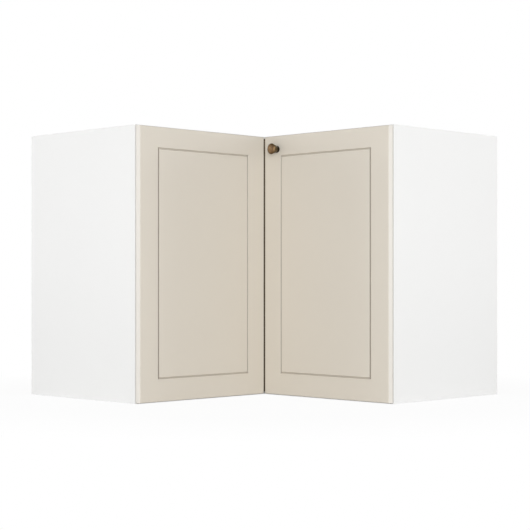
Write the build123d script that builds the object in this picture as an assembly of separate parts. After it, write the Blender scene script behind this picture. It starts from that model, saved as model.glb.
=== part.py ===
"""Corner base cabinet with a folding pair of doors.

Millimetres, +Z up. The cabinet stands in a corner of a room: one wall lies behind it at y = +wall and the
other at x = -wall. The right arm runs along +X and its door faces -Y. The left arm runs along -Y and its
door faces +X. The left arm is the right arm mirrored across the diagonal plane of the corner, apart from the
hinges and the knob. The origin is in the middle of the square that the cabinet covers, on the underside.
"""

from build123d import *
from math import atan2, cos, degrees, hypot, radians, sin
import os

# Cabinet
width = 900.0            # along each wall
height = 704.0
arm_depth = 440.0        # wall to the front edges of the boards
board = 16.0             # faced board

# Doors
door_thickness = 16.0
bumper_gap = 2.0         # between a door and the board edges behind it
reveal = 1.5             # a door stops this far inside the end panel's outer face
end_reveal = 3.0         # and this far from the cabinet's top and underside
corner_gap = 1.4         # each door face stops this far from the line where the faces would meet
edge_radius = 2.5        # rounding of the front edges
back_edge = 0.6          # eased back edges
stile_width = 59.0       # from a door's edges to the routed line
top_rail_width = 52.0
low_rail_width = 57.0
groove_width = 5.2
groove_floor = 1.2
groove_depth = 3.4

# Rails, post, backs and shelf
front_rail_width = 80.0
rear_rail_height = 100.0
post = 40.0
post_chamfer = 6.0
back_thickness = 3.0
back_setback = 7.0       # back panel to wall
groove_slack = 0.4
groove_bite = 6.0        # how deep a back panel's groove is
back_slack = 0.5         # a back panel stops short of the groove's floor
shelf_level = 344.0      # underside of the shelf
shelf_setback = 25.0
shelf_slack = 1.0
pin_row = 37.0           # hole rows, from the front and from the rear edge of an end panel
rear_row = 60.0
hole_pitch = 32.0
hole_r = 2.5
hole_depth = 12.0
rows_each_way = 3        # spare shelf holes above and below the ones in use

# Fittings
fit = 0.05               # radial clearance of what is pressed or screwed in
cam_r = 7.5
cam_depth = 12.5
cam_setback = 34.0
cam_inset = 50.0         # outer cams of the bottom board, from its front and rear edges
dowel_inset = 82.0       # and its dowels
rail_cam_step = 24.0     # a front rail's cams, from its middle line
rear_dowel_step = 30.0   # a rear rail's dowels, from its middle line
bolt_r = 3.5
bolt_thread = 11.0
dowel_r = 4.0
dowel_in_panel = 11.0
dowel_in_board = 18.0
plate_thickness = 2.0
plate_below = 44.0       # corner plate forward and back of the front line, from the inner corner
plate_above = 72.0
plate_corner = 6.0
plate_screw_inset = 12.0
plate_screw_across = 40.0
plate_screw_along = 46.0
plate_screw_r = 1.75
worktop_hole_r = 2.5
worktop_hole_spacing = 210.0
worktop_hole_first = 120.0
wall_hole_r = 4.0
wall_hole_spacing = 600.0
wall_hole_first = -285.0
leg_hole_r = 5.0
leg_hole_depth = 12.0
leg_inset = 80.0         # leg holes from the outline at the arm ends
leg_setback = 90.0       # leg holes behind the front edges
leg_from_wall = 70.0

# Concealed hinge, in its own plan: u runs inwards from the door's outer edge, v outwards from its back
hinge_inset = 98.0       # hinge centre from the door's end
pivot_u, pivot_v = 0.5, 16.5      # the line that the door turns about
arm_pin_u, arm_pin_v = 30.0, -1.0
cup_pin_u, cup_pin_v = 15.0, 4.0
guide_length = 10.0      # between paired pins
guide_angle = -75.0      # of the pair on the arm
lever_angle = 3.0        # of the pair in the cup, door closed
pin_r = 1.5
running = 0.05           # radial clearance of a turning pin
boss_r = 2.8
bar_r = 2.2
wall_boss_r = 3.4
cup_r = 17.5
cup_depth = 11.5
cup_edge = 4.5           # door edge to cup bore
cup_wall = 1.1
pocket_half = 10.4
mouth_depth = 2.2          # the links leave the cup over its lowered rim
flange = 1.2
carrier_half = 4.9       # half heights of the layers of the linkage
crank_in, crank_out = 5.2, 7.2
arm_in, arm_out = 7.5, 9.0
web_u = 29.0
web = 1.5
arm_back, arm_front = -85.0, -26.0

# Continuous folding hinge in the empty square behind the inner corner
fold_inset = 5.5         # the hinge stops short of the door's ends
knuckles = 15
leaf = 1.5
leaf_width = 34.0
leaf_screw_edge = 10.0   # screws from the leaf's free edge
screws_each_leaf = 6
leaf_screw_r = 1.75
leaf_head_r = 3.4
leaf_screw_length = 11.0
barrel_r = 4.5
fold_pin_r = 2.0
knuckle_gap = 0.3

# Knob
knob_from_corner = 48.7
knob_drop = 39.0         # below the cabinet's top
knob_r = 14.5
knob_reach = 26.8
knob_base_r = 9.4
knob_stem_r = 8.7
knob_collar = 2.4
knob_rim = 4.6           # thickness of the head's rim, under the dome
knob_dome = 1.6
knob_screw_r = 2.0

wall = width / 2
front = wall - arm_depth
inner = wall - board                     # inner face of an end panel
door_back = front - bumper_gap
door_front = door_back - door_thickness
door_mid = (door_back + door_front) / 2
door_outer = wall - reveal
door_inner = corner_gap - door_front
door_low, door_high = end_reveal, height - end_reveal
back_y = wall - back_setback - back_thickness
post_face = wall - post
rear_rail_low = height - rear_rail_height
rail_low = height - board
hinge_heights = (door_low + hinge_inset, door_high - hinge_inset)
fold_low, fold_high = door_low + fold_inset, door_high - fold_inset

diagonal = Plane(origin=(0, 0, 0), z_dir=(1, 1, 0))
from_base = (Align.CENTER, Align.CENTER, Align.MIN)


def across(shape):
    """The same thing on the left arm."""
    return mirror(shape, about=diagonal)


def block(x0, x1, y0, y1, z0, z1):
    return Pos((x0 + x1) / 2, (y0 + y1) / 2, (z0 + z1) / 2) * Box(x1 - x0, y1 - y0, z1 - z0)


def rod(start, direction, radius, length):
    """A cylinder that begins at start and runs along direction."""
    return Plane(origin=start, z_dir=direction) * Cylinder(radius, length, align=from_base)


def less(shape, cutters):
    for cutter in cutters:
        shape -= cutter
    return shape


# Joints between boards

def cam_joint(frame):
    """A cam and its bolt.

    The frame is in the middle of the board's end: x into the board, z to the cam's face.
    """
    cam_body = rod((cam_setback, 0, board / 2 - cam_depth + fit), (0, 0, 1), cam_r - fit, cam_depth - 2 * fit)
    mouth = block(cam_setback - cam_r - 1, cam_setback + 3, -3, 3, -3, 3)
    drive = block(cam_setback - 4, cam_setback + 4, -0.7, 0.7, board / 2 - 2.2, board / 2 + 1)
    shank_end = cam_setback - cam_r - fit
    bolt = rod((-bolt_thread, 0, 0), (1, 0, 0), hole_r - fit, bolt_thread)
    bolt += rod((0, 0, 0), (1, 0, 0), bolt_r - fit, shank_end)
    bolt += rod((shank_end, 0, 0), (1, 0, 0), 1.5, cam_setback - 2 - shank_end)
    bolt += rod((cam_setback - 2, 0, 0), (1, 0, 0), 2.6, 2.5)
    in_board = [
        rod((cam_setback, 0, board / 2 - cam_depth), (0, 0, 1), cam_r, cam_depth + 1),
        rod((-1, 0, 0), (1, 0, 0), bolt_r, cam_setback),
    ]
    in_panel = [rod((1, 0, 0), (-1, 0, 0), hole_r, hole_depth + 1)]
    return (frame * (cam_body - mouth - drive), frame * bolt,
            [frame * c for c in in_board], [frame * c for c in in_panel])


def dowel_joint(frame):
    """A wooden dowel, half in the panel and half in the board."""
    dowel = rod((-dowel_in_panel, 0, 0), (1, 0, 0), dowel_r - fit, dowel_in_panel + dowel_in_board)
    in_board = rod((-1, 0, 0), (1, 0, 0), dowel_r, dowel_in_board + 2)
    in_panel = rod((1, 0, 0), (-1, 0, 0), dowel_r, dowel_in_panel + 1.5)
    return frame * dowel, [frame * in_board], [frame * in_panel]


def end_frame(x, y, z, x_dir, z_dir):
    return Plane(origin=(x, y, z), x_dir=x_dir, z_dir=z_dir)


bottom_cams = [(inner, y) for y in (front + cam_inset, front + arm_depth / 2, wall - cam_inset)]
bottom_dowels = [(inner, y) for y in (front + dowel_inset, wall - dowel_inset)]
rail_mid = front + front_rail_width / 2
to_left, to_right, down, to_room = (-1, 0, 0), (1, 0, 0), (0, 0, -1), (0, -1, 0)
rear_mid = wall - board / 2
rear_level = rear_rail_low + rear_rail_height / 2

joints = {
    "bottom": (
        [cam_joint(end_frame(x, y, board / 2, to_left, down)) for x, y in bottom_cams],
        [dowel_joint(end_frame(x, y, board / 2, to_left, down)) for x, y in bottom_dowels]),
    "front_rail": (
        [cam_joint(end_frame(inner, rail_mid + s * rail_cam_step, height - board / 2, to_left, down))
         for s in (-1, 1)],
        [dowel_joint(end_frame(inner, rail_mid, height - board / 2, to_left, down))]),
    "rear_rail": (
        [cam_joint(end_frame(inner, rear_mid, rear_level, to_left, to_room))],
        [dowel_joint(end_frame(inner, rear_mid, rear_level + s * rear_dowel_step, to_left, to_room))
         for s in (-1, 1)]),
    "rear_rail_at_post": (
        [cam_joint(end_frame(-post_face, rear_mid, rear_level, to_right, to_room))],
        [dowel_joint(end_frame(-post_face, rear_mid, rear_level + rear_dowel_step, to_right, to_room))]),
}


def cuts(joint, where):
    """What a joint's cams and dowels cut: where is 'board' or 'panel'."""
    cam_set, dowel_set = joints[joint]
    cam_index, dowel_index = (2, 1) if where == "board" else (3, 2)
    return [c for one in cam_set for c in one[cam_index]] + [c for one in dowel_set for c in one[dowel_index]]


def both_arms(shapes):
    return shapes + [across(s) for s in shapes]


# Boards

back_groove_y0, back_groove_y1 = back_y - groove_slack / 2, back_y + back_thickness + groove_slack / 2
back_groove_low = board - groove_bite
back_groove_high = rear_rail_low + groove_bite


def shelf_hole_heights():
    return [shelf_level - hole_r + k * hole_pitch for k in range(-rows_each_way, rows_each_way + 1)]


def panel_holes(with_hinges):
    """Blind holes in an end panel's inner face: shelf rows, and the hinge plates' screws in the front row."""
    holes = [rod((inner - 1, y, z), to_right, hole_r, hole_depth + 1)
             for y in (front + pin_row, wall - rear_row) for z in shelf_hole_heights()]
    if with_hinges:
        holes += [rod((inner - 1, front + pin_row, z + s * hole_pitch / 2), to_right, hole_r, hole_depth + 1)
                  for z in hinge_heights for s in (-1, 1)]
    return holes


def end_panel(with_hinges):
    panel = block(inner, wall, front, wall, 0, height)
    panel -= block(inner - 1, inner + groove_bite, back_groove_y0, back_groove_y1,
                   back_groove_low, back_groove_high)
    return less(panel, panel_holes(with_hinges) + cuts("bottom", "panel") + cuts("front_rail", "panel")
                + cuts("rear_rail", "panel"))


leg_places = [
    (wall - leg_inset, wall - leg_from_wall), (-wall + leg_from_wall, wall - leg_from_wall),
    (wall - leg_inset, front + leg_setback), (-front - leg_setback, front + leg_setback),
    (-front - leg_setback, -wall + leg_inset), (-wall + leg_from_wall, -wall + leg_inset),
]
post_mid = wall - post / 2


def post_dowels():
    return [dowel_joint(end_frame(-post_mid + s * 9, post_mid - s * 9, board, (0, 0, 1), (0, 1, 0)))
            for s in (-1, 1)]


def bottom_board():
    outline = [(inner, front), (inner, wall), (-wall, wall),
               (-wall, -inner), (-front, -inner), (-front, front)]
    shape = extrude(Polygon(*outline, align=None), amount=board)
    groove = block(-post_face - groove_bite, inner + 1, back_groove_y0, back_groove_y1,
                   back_groove_low, board + 1)
    cutters = both_arms(cuts("bottom", "board") + [groove])
    cutters += [rod((x, y, -1), (0, 0, 1), leg_hole_r, leg_hole_depth + 1) for x, y in leg_places]
    cutters += [c for one in post_dowels() for c in one[2]]
    return less(shape, cutters)


def front_rail(start):
    """A flat rail under the worktop. The right one starts past the inner corner; the left one meets it."""
    rail = block(start, inner, front, front + front_rail_width, rail_low, height)
    holes = [rod((worktop_hole_first + k * worktop_hole_spacing, rail_mid, rail_low - 1), (0, 0, 1),
                 worktop_hole_r, board + 2) for k in (0, 1)]
    return less(rail, holes + cuts("front_rail", "board"))


def rear_rail():
    rail = block(-post_face, inner, wall - board, wall, rear_rail_low, height)
    rail -= block(-post_face - 1, inner + 1, back_groove_y0, back_groove_y1,
                  rear_rail_low - 1, back_groove_high)
    holes = [rod((wall_hole_first + k * wall_hole_spacing, wall - board - 1, rear_level), (0, 1, 0),
                 wall_hole_r, board + 2) for k in (0, 1)]
    return less(rail, holes + cuts("rear_rail", "board") + cuts("rear_rail_at_post", "board"))


def post_pins():
    """Shelf holes in the post, on the two faces towards the room."""
    heights = shelf_hole_heights()[rows_each_way - 1:rows_each_way + 2]
    return [rod((-post_face + 1, post_mid, z), to_left, hole_r, hole_depth + 1) for z in heights]


def rear_post():
    shape = block(-wall, -post_face, post_face, wall, board, height)
    room_edge = shape.edges().filter_by(Axis.Z).sort_by(lambda e: e.center().X - e.center().Y)[-1]
    shape = chamfer(room_edge, post_chamfer)
    groove = block(-post_face - groove_bite, -post_face + 1, back_groove_y0, back_groove_y1,
                   board - 1, back_groove_high)
    cutters = both_arms([groove] + cuts("rear_rail_at_post", "panel") + post_pins())
    cutters += [c for one in post_dowels() for c in one[1]]
    return less(shape, cutters)


def back_panel():
    inset = groove_bite - back_slack
    return block(-post_face - inset, inner + inset, back_y, back_y + back_thickness,
                 back_groove_low + back_slack, back_groove_high - back_slack)


def shelf():
    x_end, y_back = inner - shelf_slack, back_y - 2 * shelf_slack
    y_front, notch = front + shelf_setback, post_face - 2 * shelf_slack
    outline = [(x_end, y_front), (x_end, y_back), (-notch, y_back), (-notch, notch), (-y_back, notch),
               (-y_back, -x_end), (-y_front, -x_end), (-y_front, y_front)]
    shape = extrude(Polygon(*outline, align=None), amount=board)
    return Pos(0, 0, shelf_level) * shape


def shelf_pin(start, direction):
    """A pin in its hole, with a collar on the board and a round stub under the shelf."""
    x, y, z = start
    collar = rod((x, y, z), direction, hole_r + 1.2, 1.2)
    stub = rod((x, y, z), direction, hole_r, 9)
    tail = rod((x, y, z), tuple(-c for c in direction), hole_r - fit, hole_depth - 2)
    return collar.cut(block(x - 20, x + 20, y - 20, y + 20, z + hole_r, z + 20)) + stub + tail


def shelf_pins():
    level = shelf_level - hole_r
    right = [shelf_pin((inner, y, level), to_left) for y in (front + pin_row, wall - rear_row)]
    right.append(shelf_pin((-post_face, post_mid, level), to_right))
    return both_arms(right)


# Steel plate under the joint of the front rails

plate_reach = front_rail_width - 20
plate_screw_columns = [-front - plate_screw_inset - i * plate_screw_across for i in (0, 1)]
plate_screw_rows = [front + plate_above - plate_screw_inset - i * plate_screw_along for i in (0, 1)]
plate_screw_rows.append(front - plate_below + 1.5 * plate_screw_inset)
plate_screws_at = [(x, y) for x in plate_screw_columns for y in plate_screw_rows]


def corner_plate():
    plate = block(-front - plate_reach, -front - plate_screw_inset / 3, front - plate_below,
                  front + plate_above, rail_low - plate_thickness, rail_low)
    plate = fillet(plate.edges().filter_by(Axis.Z), plate_corner)
    hole_from = rail_low - 2 * plate_thickness
    return less(plate, [rod((x, y, hole_from), (0, 0, 1), 1.25 * plate_screw_r, 4 * plate_thickness)
                        for x, y in plate_screws_at])


def rail_screw_holes():
    return [rod((x, y, rail_low - 1), (0, 0, 1), plate_screw_r, 12) for x, y in plate_screws_at]


def pan_screw(frame, head_r, head, shank_r, length):
    """A pan-head screw: the frame's origin is under its head, and z points out of the head."""
    screw = Cylinder(head_r, head, align=from_base)
    screw = chamfer(screw.edges().sort_by(Axis.Z)[-1], head * 0.4)
    screw += Cylinder(shank_r, length, align=(Align.CENTER, Align.CENTER, Align.MAX))
    return frame * screw


# Doors

def rounded_board():
    """The right door before its grooves and holes: soft front edges and slightly eased back edges."""
    door = block(door_inner, door_outer, door_front, door_back, door_low, door_high)
    front_face = door.faces().sort_by(Axis.Y)[0]
    door = fillet(front_face.edges(), edge_radius)
    back_face = door.faces().sort_by(Axis.Y)[-1]
    return chamfer(back_face.edges(), back_edge)


def routed_line():
    """The cut of a router bit with sloping sides, taken round a rectangle on the door's face."""
    low, high = door_low + low_rail_width, door_high - top_rail_width
    long_side = high - low
    short_side = door_outer - door_inner - 2 * stile_width
    slope = degrees(atan2((groove_width - groove_floor) / 2, groove_depth))
    face = Plane(origin=((door_inner + door_outer) / 2, door_front, (low + high) / 2),
                 x_dir=(1, 0, 0), z_dir=(0, 1, 0))
    outer = extrude(face * Rectangle(short_side, long_side), amount=groove_depth, taper=slope)
    island = extrude(face * Rectangle(short_side - 2 * groove_width, long_side - 2 * groove_width),
                     amount=groove_depth, taper=-slope)
    return outer - island


def plain_door():
    return rounded_board() - routed_line()


knob_x = knob_from_corner - door_front
knob_z = height - knob_drop
knob_frame = Plane(origin=(knob_x, door_front, knob_z), z_dir=(0, -1, 0))


def knob():
    """A turned knob: a collar, a stem that flares into the head, and a slightly domed face."""
    dome_edge = knob_r - 1.4
    sphere = (dome_edge ** 2 + knob_dome ** 2) / (2 * knob_dome)
    dome_middle = knob_reach - sphere + (sphere ** 2 - (dome_edge / 2) ** 2) ** 0.5
    rim = knob_reach - knob_dome - knob_rim
    stem = (knob_stem_r, knob_collar)
    flare = (knob_r - 1.2, rim)
    halfway = ((stem[0] + flare[0]) / 2 + 0.2, (stem[1] + flare[1]) / 2)
    with BuildPart() as turned:
        with BuildSketch(Plane.XZ):
            with BuildLine():
                Polyline((0, 0), (knob_base_r, 0), (knob_base_r, knob_collar / 2), stem)
                ThreePointArc(stem, halfway, flare)
                Polyline(flare, (knob_r, rim + 1.2), (knob_r, knob_reach - 3.4),
                         (dome_edge, knob_reach - knob_dome))
                ThreePointArc((dome_edge, knob_reach - knob_dome), (dome_edge / 2, dome_middle),
                              (0, knob_reach))
                Line((0, knob_reach), (0, 0))
            make_face()
        revolve(axis=Axis.Z)
    threaded = rod((0, 0, -1), (0, 0, 1), knob_screw_r + fit, 14)
    return knob_frame * (turned.part - threaded)


def knob_screw():
    behind = Plane(origin=(knob_x, door_back, knob_z), z_dir=(0, 1, 0))
    return pan_screw(behind, 3.8, 1.6, knob_screw_r, door_thickness + 12)


# Concealed hinge. Four parallel links carry the door, and it turns exactly about one line beside its edge.

def plan(length, angle):
    return (length * cos(radians(angle)), length * sin(radians(angle)))


def moved(point, step):
    return (point[0] + step[0], point[1] + step[1])


arm_pin = (arm_pin_u, arm_pin_v)
cup_pin = (cup_pin_u, cup_pin_v)
crank_step = (cup_pin_u - pivot_u, cup_pin_v - pivot_v)
guide_step = plan(guide_length, guide_angle)
lever_step = plan(guide_length, lever_angle)
elbow_pin = moved(arm_pin, crank_step)
arm_guide_pin = moved(arm_pin, guide_step)
elbow_guide_pin = moved(elbow_pin, guide_step)
elbow_lever_pin = moved(elbow_pin, lever_step)
cup_lever_pin = moved(cup_pin, lever_step)
cup_u = cup_edge + cup_r
panel_u = board - reveal                 # inner face of the end panel
cup_screw_u = cup_u + 9.5
cup_screw_w = 22.5
plate_v = -bumper_gap - pin_row
arm_screw_v = -62.0
block_half = 6.9


def hinge_places():
    """Where the hinge's own plan lies in the cabinet: once for each hinge."""
    return [Location((door_outer, door_back, z), (0, 0, 180)) for z in hinge_heights]


def at_hinges(shape):
    return [place * shape for place in hinge_places()]


def bar(start, end, radius):
    length = hypot(end[0] - start[0], end[1] - start[1])
    angle = degrees(atan2(end[1] - start[1], end[0] - start[0]))
    middle = ((start[0] + end[0]) / 2, (start[1] + end[1]) / 2)
    return Pos(*middle) * Rot(0, 0, angle) * SlotCenterToCenter(length, 2 * radius)


def link(pins, bosses):
    """The outline of a flat link through its pins, with a round boss at each."""
    outline = bar(pins[0], pins[1], bar_r)
    for start, end in zip(pins[1:], pins[2:]):
        outline += bar(start, end, bar_r)
    for pin in pins:
        outline += Pos(*pin) * Circle(bosses)
    return outline


def layer(outline, low, high, pressed, turning):
    """A link's plate between two heights, with its holes."""
    plate = Pos(0, 0, low) * extrude(outline, amount=high - low)
    holes = [(p, pin_r + fit / 2) for p in pressed] + [(p, pin_r + running) for p in turning]
    for (u, v), radius in holes:
        plate -= rod((u, v, low - 1), (0, 0, 1), radius, high - low + 2)
    return plate


def top_and_bottom(outline, inside, outside, pressed, turning):
    return [layer(outline, inside, outside, pressed, turning),
            layer(outline, -outside, -inside, pressed, turning)]


def cranks():
    return top_and_bottom(link([arm_pin, elbow_pin, elbow_lever_pin], boss_r), crank_in, crank_out,
                          [elbow_pin, elbow_lever_pin], [arm_pin])


def guide_cranks():
    return top_and_bottom(link([arm_guide_pin, elbow_guide_pin], boss_r), crank_in, crank_out,
                          [elbow_guide_pin], [arm_guide_pin])


def carrier():
    return layer(link([cup_pin, elbow_pin, elbow_guide_pin], boss_r), -carrier_half, carrier_half,
                 [], [cup_pin, elbow_pin, elbow_guide_pin])


def lever():
    return layer(link([cup_lever_pin, elbow_lever_pin], boss_r), -carrier_half, carrier_half,
                 [], [cup_lever_pin, elbow_lever_pin])


def hinge_pin(pin, half):
    return rod((*pin, -half), (0, 0, 1), pin_r, 2 * half)


def arm_rivet(pin, side):
    """A short rivet through one wall of the arm, with its head outside."""
    inside, outside = crank_in - 0.1, arm_out
    shank = rod((*pin, inside), (0, 0, 1), pin_r, outside - inside)
    head = rod((*pin, outside), (0, 0, 1), pin_r + 0.8, 0.6)
    rivet = shank + head
    return rivet if side > 0 else mirror(rivet, about=Plane.XY)


def arm():
    """A pressed steel channel: a web over the mounting plate and two walls that reach out to the pins."""
    knee = (web_u - 3.5, arm_front - 4)
    side = bar(arm_pin, arm_guide_pin, wall_boss_r) + bar(arm_guide_pin, knee, wall_boss_r + 1.2)
    side += Pos((web_u + web + 19.5) / 2, (arm_back + arm_front) / 2) * Rectangle(
        web_u + web - 19.5, arm_front - arm_back)
    walls = top_and_bottom(side, arm_in, arm_out, [arm_pin, arm_guide_pin], [])
    shape = block(web_u, web_u + web, arm_back, arm_front + 2, -arm_out, arm_out) + walls[0] + walls[1]
    shape -= rod((web_u - 1, arm_screw_v, 0), (1, 0, 0), 2.4, web + 2)
    slot = Pos(web_u + web / 2, arm_front - 14, 0) * Box(web + 2, 9, 4.6)
    return shape - slot


def mounting_plate():
    """A winged plate on the end panel, with a ridge that fills the arm."""
    wings = Pos(panel_u, plate_v, 0) * Rot(0, 90, 0) * extrude(RectangleRounded(50, 18, 6), amount=2)
    ridge = block(panel_u, web_u - 0.1, arm_back + 5, arm_front, -block_half, block_half)
    ridge = chamfer(ridge.edges().filter_by(Axis.Z).sort_by(Axis.X)[-2:], 2.5)
    shape = wings + ridge
    for s in (-1, 1):
        shape -= rod((panel_u - 1, plate_v, s * hole_pitch / 2), (1, 0, 0), hole_r, 4)
    return shape - rod((web_u - 11, arm_screw_v, 0), (1, 0, 0), 2.2 + fit, 12)


def plate_screw(w):
    frame = Plane(origin=(panel_u + 2, plate_v, w), z_dir=(1, 0, 0))
    return pan_screw(frame, 4.2, 1.8, hole_r - fit, hole_depth)


def arm_screw():
    frame = Plane(origin=(web_u + web, arm_screw_v, 0), z_dir=(1, 0, 0))
    return pan_screw(frame, 3.8, 2.0, 2.2, 11)


def cup():
    """The cup in its bore: a flange on the door's back, and a pocket for the links."""
    body = rod((cup_u, cup_depth, 0), (0, -1, 0), cup_r - 2 * fit, cup_depth)
    outline = Circle(cup_r + 1.4) + Pos(0, 9.5) * RectangleRounded(2 * cup_screw_w + 12, 12, 5.5)
    lid_plane = Plane(origin=(cup_u, -flange, 0), x_dir=(0, 0, -1), z_dir=(0, 1, 0))
    lid = lid_plane * extrude(outline, amount=flange)
    pocket = rod((cup_u, cup_depth - cup_wall, 0), (0, -1, 0), cup_r - cup_wall, cup_depth + 3)
    pocket &= block(0, cup_u + 2 * cup_r, -5, cup_depth, -pocket_half, pocket_half)
    mouth = block(cup_u, cup_u + cup_r + 1.8, -flange - 1, mouth_depth, -pocket_half, pocket_half)
    lip = block(cup_edge + fit, cup_u, -flange - 1, 0, -pocket_half, pocket_half)
    shape = body + lid - pocket - mouth - lip
    for pin in (cup_pin, cup_lever_pin):
        shape -= rod((*pin, -12.1), (0, 0, 1), pin_r + fit / 2, 24.2)
    for s in (-1, 1):
        shape -= rod((cup_screw_u, -flange - 1, s * cup_screw_w), (0, 1, 0), 2.1, flange + 2)
    return shape


def cup_screw(w):
    frame = Plane(origin=(cup_screw_u, -flange, w), z_dir=(0, -1, 0))
    return pan_screw(frame, 3.6, 1.2, 1.9, 11)


def hinge_cuts_in_door():
    cutters = []
    for place in hinge_places():
        cutters.append(place * rod((cup_u, -1, 0), (0, 1, 0), cup_r, cup_depth + 1.3))
        cutters += [place * rod((cup_screw_u, -1, s * cup_screw_w), (0, 1, 0), 1.9 + fit, 11.5)
                    for s in (-1, 1)]
    return cutters


# Continuous hinge between the doors, drawn for the right door and mirrored for the left one

fold_axis = (-door_mid, door_mid)
half_door = door_back - door_mid
leaf_reach = door_inner + leaf_width + door_mid
leaf_start = half_door - barrel_r - 1.1
knuckle = (fold_high - fold_low) / knuckles
leaf_screw_x = leaf_reach - leaf_screw_edge
leaf_screw_pitch = (fold_high - fold_low) / screws_each_leaf
leaf_screw_heights = [fold_low + (i + 0.5) * leaf_screw_pitch for i in range(screws_each_leaf)]
at_fold = Pos(*fold_axis, 0)


def leaf_part(own, bore):
    """A leaf on the right door's back, with the rolled knuckles that it carries."""
    shape = block(leaf_start, leaf_reach, half_door, half_door + leaf, fold_low, fold_high)
    for i in own:
        low = fold_low + i * knuckle + knuckle_gap / 2
        high = low + knuckle - knuckle_gap
        shape += block(barrel_r - leaf, barrel_r, 0, half_door + leaf, low, high)
        shape += rod((0, 0, low), (0, 0, 1), barrel_r, high - low)
    shape -= rod((0, 0, fold_low - 1), (0, 0, 1), bore, fold_high - fold_low + 2)
    for z in leaf_screw_heights:
        shape -= rod((leaf_screw_x, half_door - 1, z), (0, 1, 0), leaf_screw_r + fit, leaf + 2)
        shape -= Plane(origin=(leaf_screw_x, half_door + leaf + 0.01, z), z_dir=(0, -1, 0)) * Cone(
            leaf_head_r + fit, leaf_screw_r + fit, leaf, align=from_base)
    return shape


def right_leaf():
    return [at_fold * leaf_part(range(1, knuckles, 2), fold_pin_r + fit / 2)]


def left_leaf():
    return [at_fold * across(leaf_part(range(0, knuckles, 2), fold_pin_r + running))]


def fold_pin():
    """A pin through all the knuckles, with a low head above the top one."""
    shank = rod((0, 0, fold_low - 1), (0, 0, 1), fold_pin_r, fold_high - fold_low + 2)
    head = rod((0, 0, fold_high + knuckle_gap), (0, 0, 1), barrel_r - 0.8, 1.4)
    return [at_fold * (shank + head)]


def leaf_screw(z):
    """A countersunk screw, flush with the leaf."""
    head = Cone(leaf_head_r, leaf_screw_r, leaf, align=from_base)
    shank = Pos(0, 0, leaf) * Cylinder(leaf_screw_r, leaf_screw_length, align=from_base)
    return Plane(origin=(leaf_screw_x, half_door + leaf, z), z_dir=(0, -1, 0)) * (head + shank)


def right_leaf_screws():
    return [at_fold * leaf_screw(z) for z in leaf_screw_heights]


def left_leaf_screws():
    return [at_fold * across(leaf_screw(z)) for z in leaf_screw_heights]


def leaf_holes():
    """The screw holes in the back of the right door."""
    depth = leaf_screw_length + 1.5
    return [at_fold * rod((leaf_screw_x, half_door + 1, z), (0, -1, 0), leaf_screw_r + fit, depth)
            for z in leaf_screw_heights]


# Bumpers, thinner than the gap that they keep

bumper_r = 4.5
bumper_thickness = bumper_gap - 0.2


def bumper(x, z):
    pad = rod((x, door_back, z), (0, 1, 0), bumper_r, bumper_thickness)
    return chamfer(pad.edges().sort_by(Axis.Y)[-1], 0.5)


def right_bumpers():
    from_end = bumper_r + 1.5
    return [bumper(door_inner + 40, z) for z in (door_low + from_end, door_high - from_end)]


def left_bumpers():
    return [across(bumper(wall - board / 2, z)) for z in (height / 6, height * 5 / 6)]


def write(name, shapes):
    solids = [s for shape in shapes for s in shape.solids()]
    export_step(Compound(solids), f"parts/{name}.step")


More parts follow.
